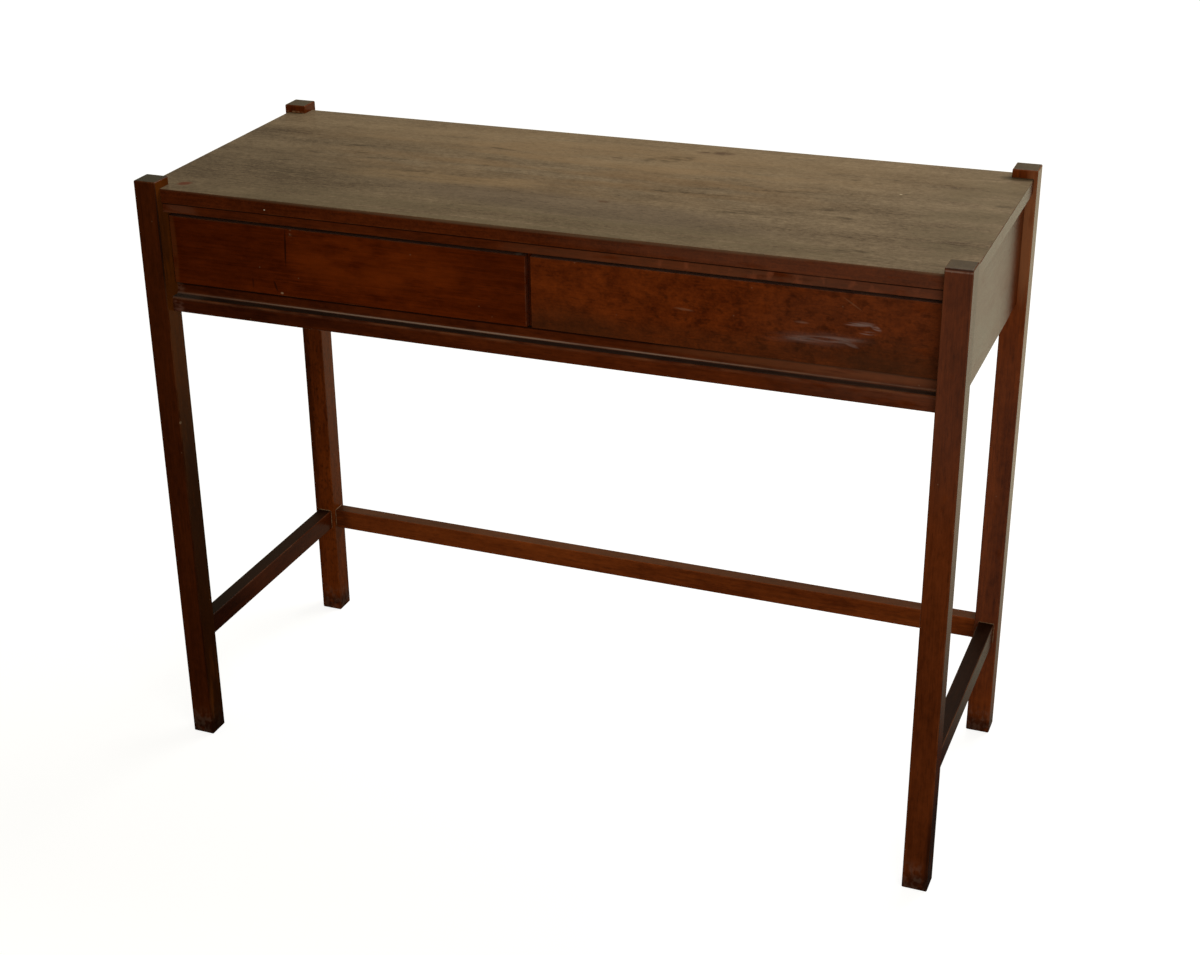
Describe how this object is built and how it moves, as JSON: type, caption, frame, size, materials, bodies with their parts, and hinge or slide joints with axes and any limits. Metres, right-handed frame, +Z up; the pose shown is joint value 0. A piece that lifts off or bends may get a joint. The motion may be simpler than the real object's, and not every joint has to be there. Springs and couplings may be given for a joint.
{
  "type": "writing desk",
  "caption": "Small dark wooden writing desk on square stretchered legs that stand above a flat top, with handleless drawers side by side over a coved finger rail.",
  "frame": {"origin": "centre of the footprint, on the floor", "axes": "+X along the desk's width, +Y to its back, +Z up; the drawers face -Y"},
  "size_m": [1, 0.4, 0.77],
  "materials": {
    "stained_leg": "dark red-brown stain under satin varnish, grain along the leg",
    "varnished_top": "dark red-brown stain under worn satin varnish, grain along the desk",
    "stained_apron": "dark red-brown stain under satin varnish",
    "stained_rail": "dark red-brown stain under satin varnish",
    "drawer_veneer": "mottled red-brown veneer under satin varnish",
    "plain_runner": "bare planed softwood",
    "plain_drawer": "bare planed hardwood",
    "drawer_plywood": "bare thin plywood",
    "steel_fasteners": "dull plain steel"
  },
  "bodies": {
    "frame": {"front_left_leg": "stained_leg", "front_right_leg": "stained_leg", "back_left_leg": "stained_leg", "back_right_leg": "stained_leg", "desk_top": "varnished_top", "left_side_panel": "stained_apron", "right_side_panel": "stained_apron", "back_panel": "stained_apron", "upper_front_rail": "stained_rail", "lower_front_rail": "stained_rail", "centre_post": "stained_rail", "left_stretcher": "stained_leg", "right_stretcher": "stained_leg", "back_stretcher": "stained_leg", "centre_bearer": "plain_runner", "centre_guide": "plain_runner", "centre_kicker": "plain_runner", "left_runner": "plain_runner", "right_runner": "plain_runner", "left_top_batten": "plain_runner", "right_top_batten": "plain_runner", "back_top_batten": "plain_runner", "left_inner_stop": "plain_runner", "left_outer_stop": "plain_runner", "right_inner_stop": "plain_runner", "right_outer_stop": "plain_runner"},
    "left_drawer": {"left_drawer_front": "drawer_veneer", "left_drawer_outer_side": "plain_drawer", "left_drawer_inner_side": "plain_drawer", "left_drawer_back": "plain_drawer", "left_drawer_bottom": "drawer_plywood"},
    "right_drawer": {"right_drawer_front": "drawer_veneer", "right_drawer_outer_side": "plain_drawer", "right_drawer_inner_side": "plain_drawer", "right_drawer_back": "plain_drawer", "right_drawer_bottom": "drawer_plywood"}
  },
  "joints": [
    {"name": "left_drawer_slide", "type": "slide", "parent": "frame", "child": "left_drawer", "axis": [0, -1, 0], "range_m": [0, 0.24]},
    {"name": "right_drawer_slide", "type": "slide", "parent": "frame", "child": "right_drawer", "axis": [0, -1, 0], "range_m": [0, 0.24]}
  ]
}
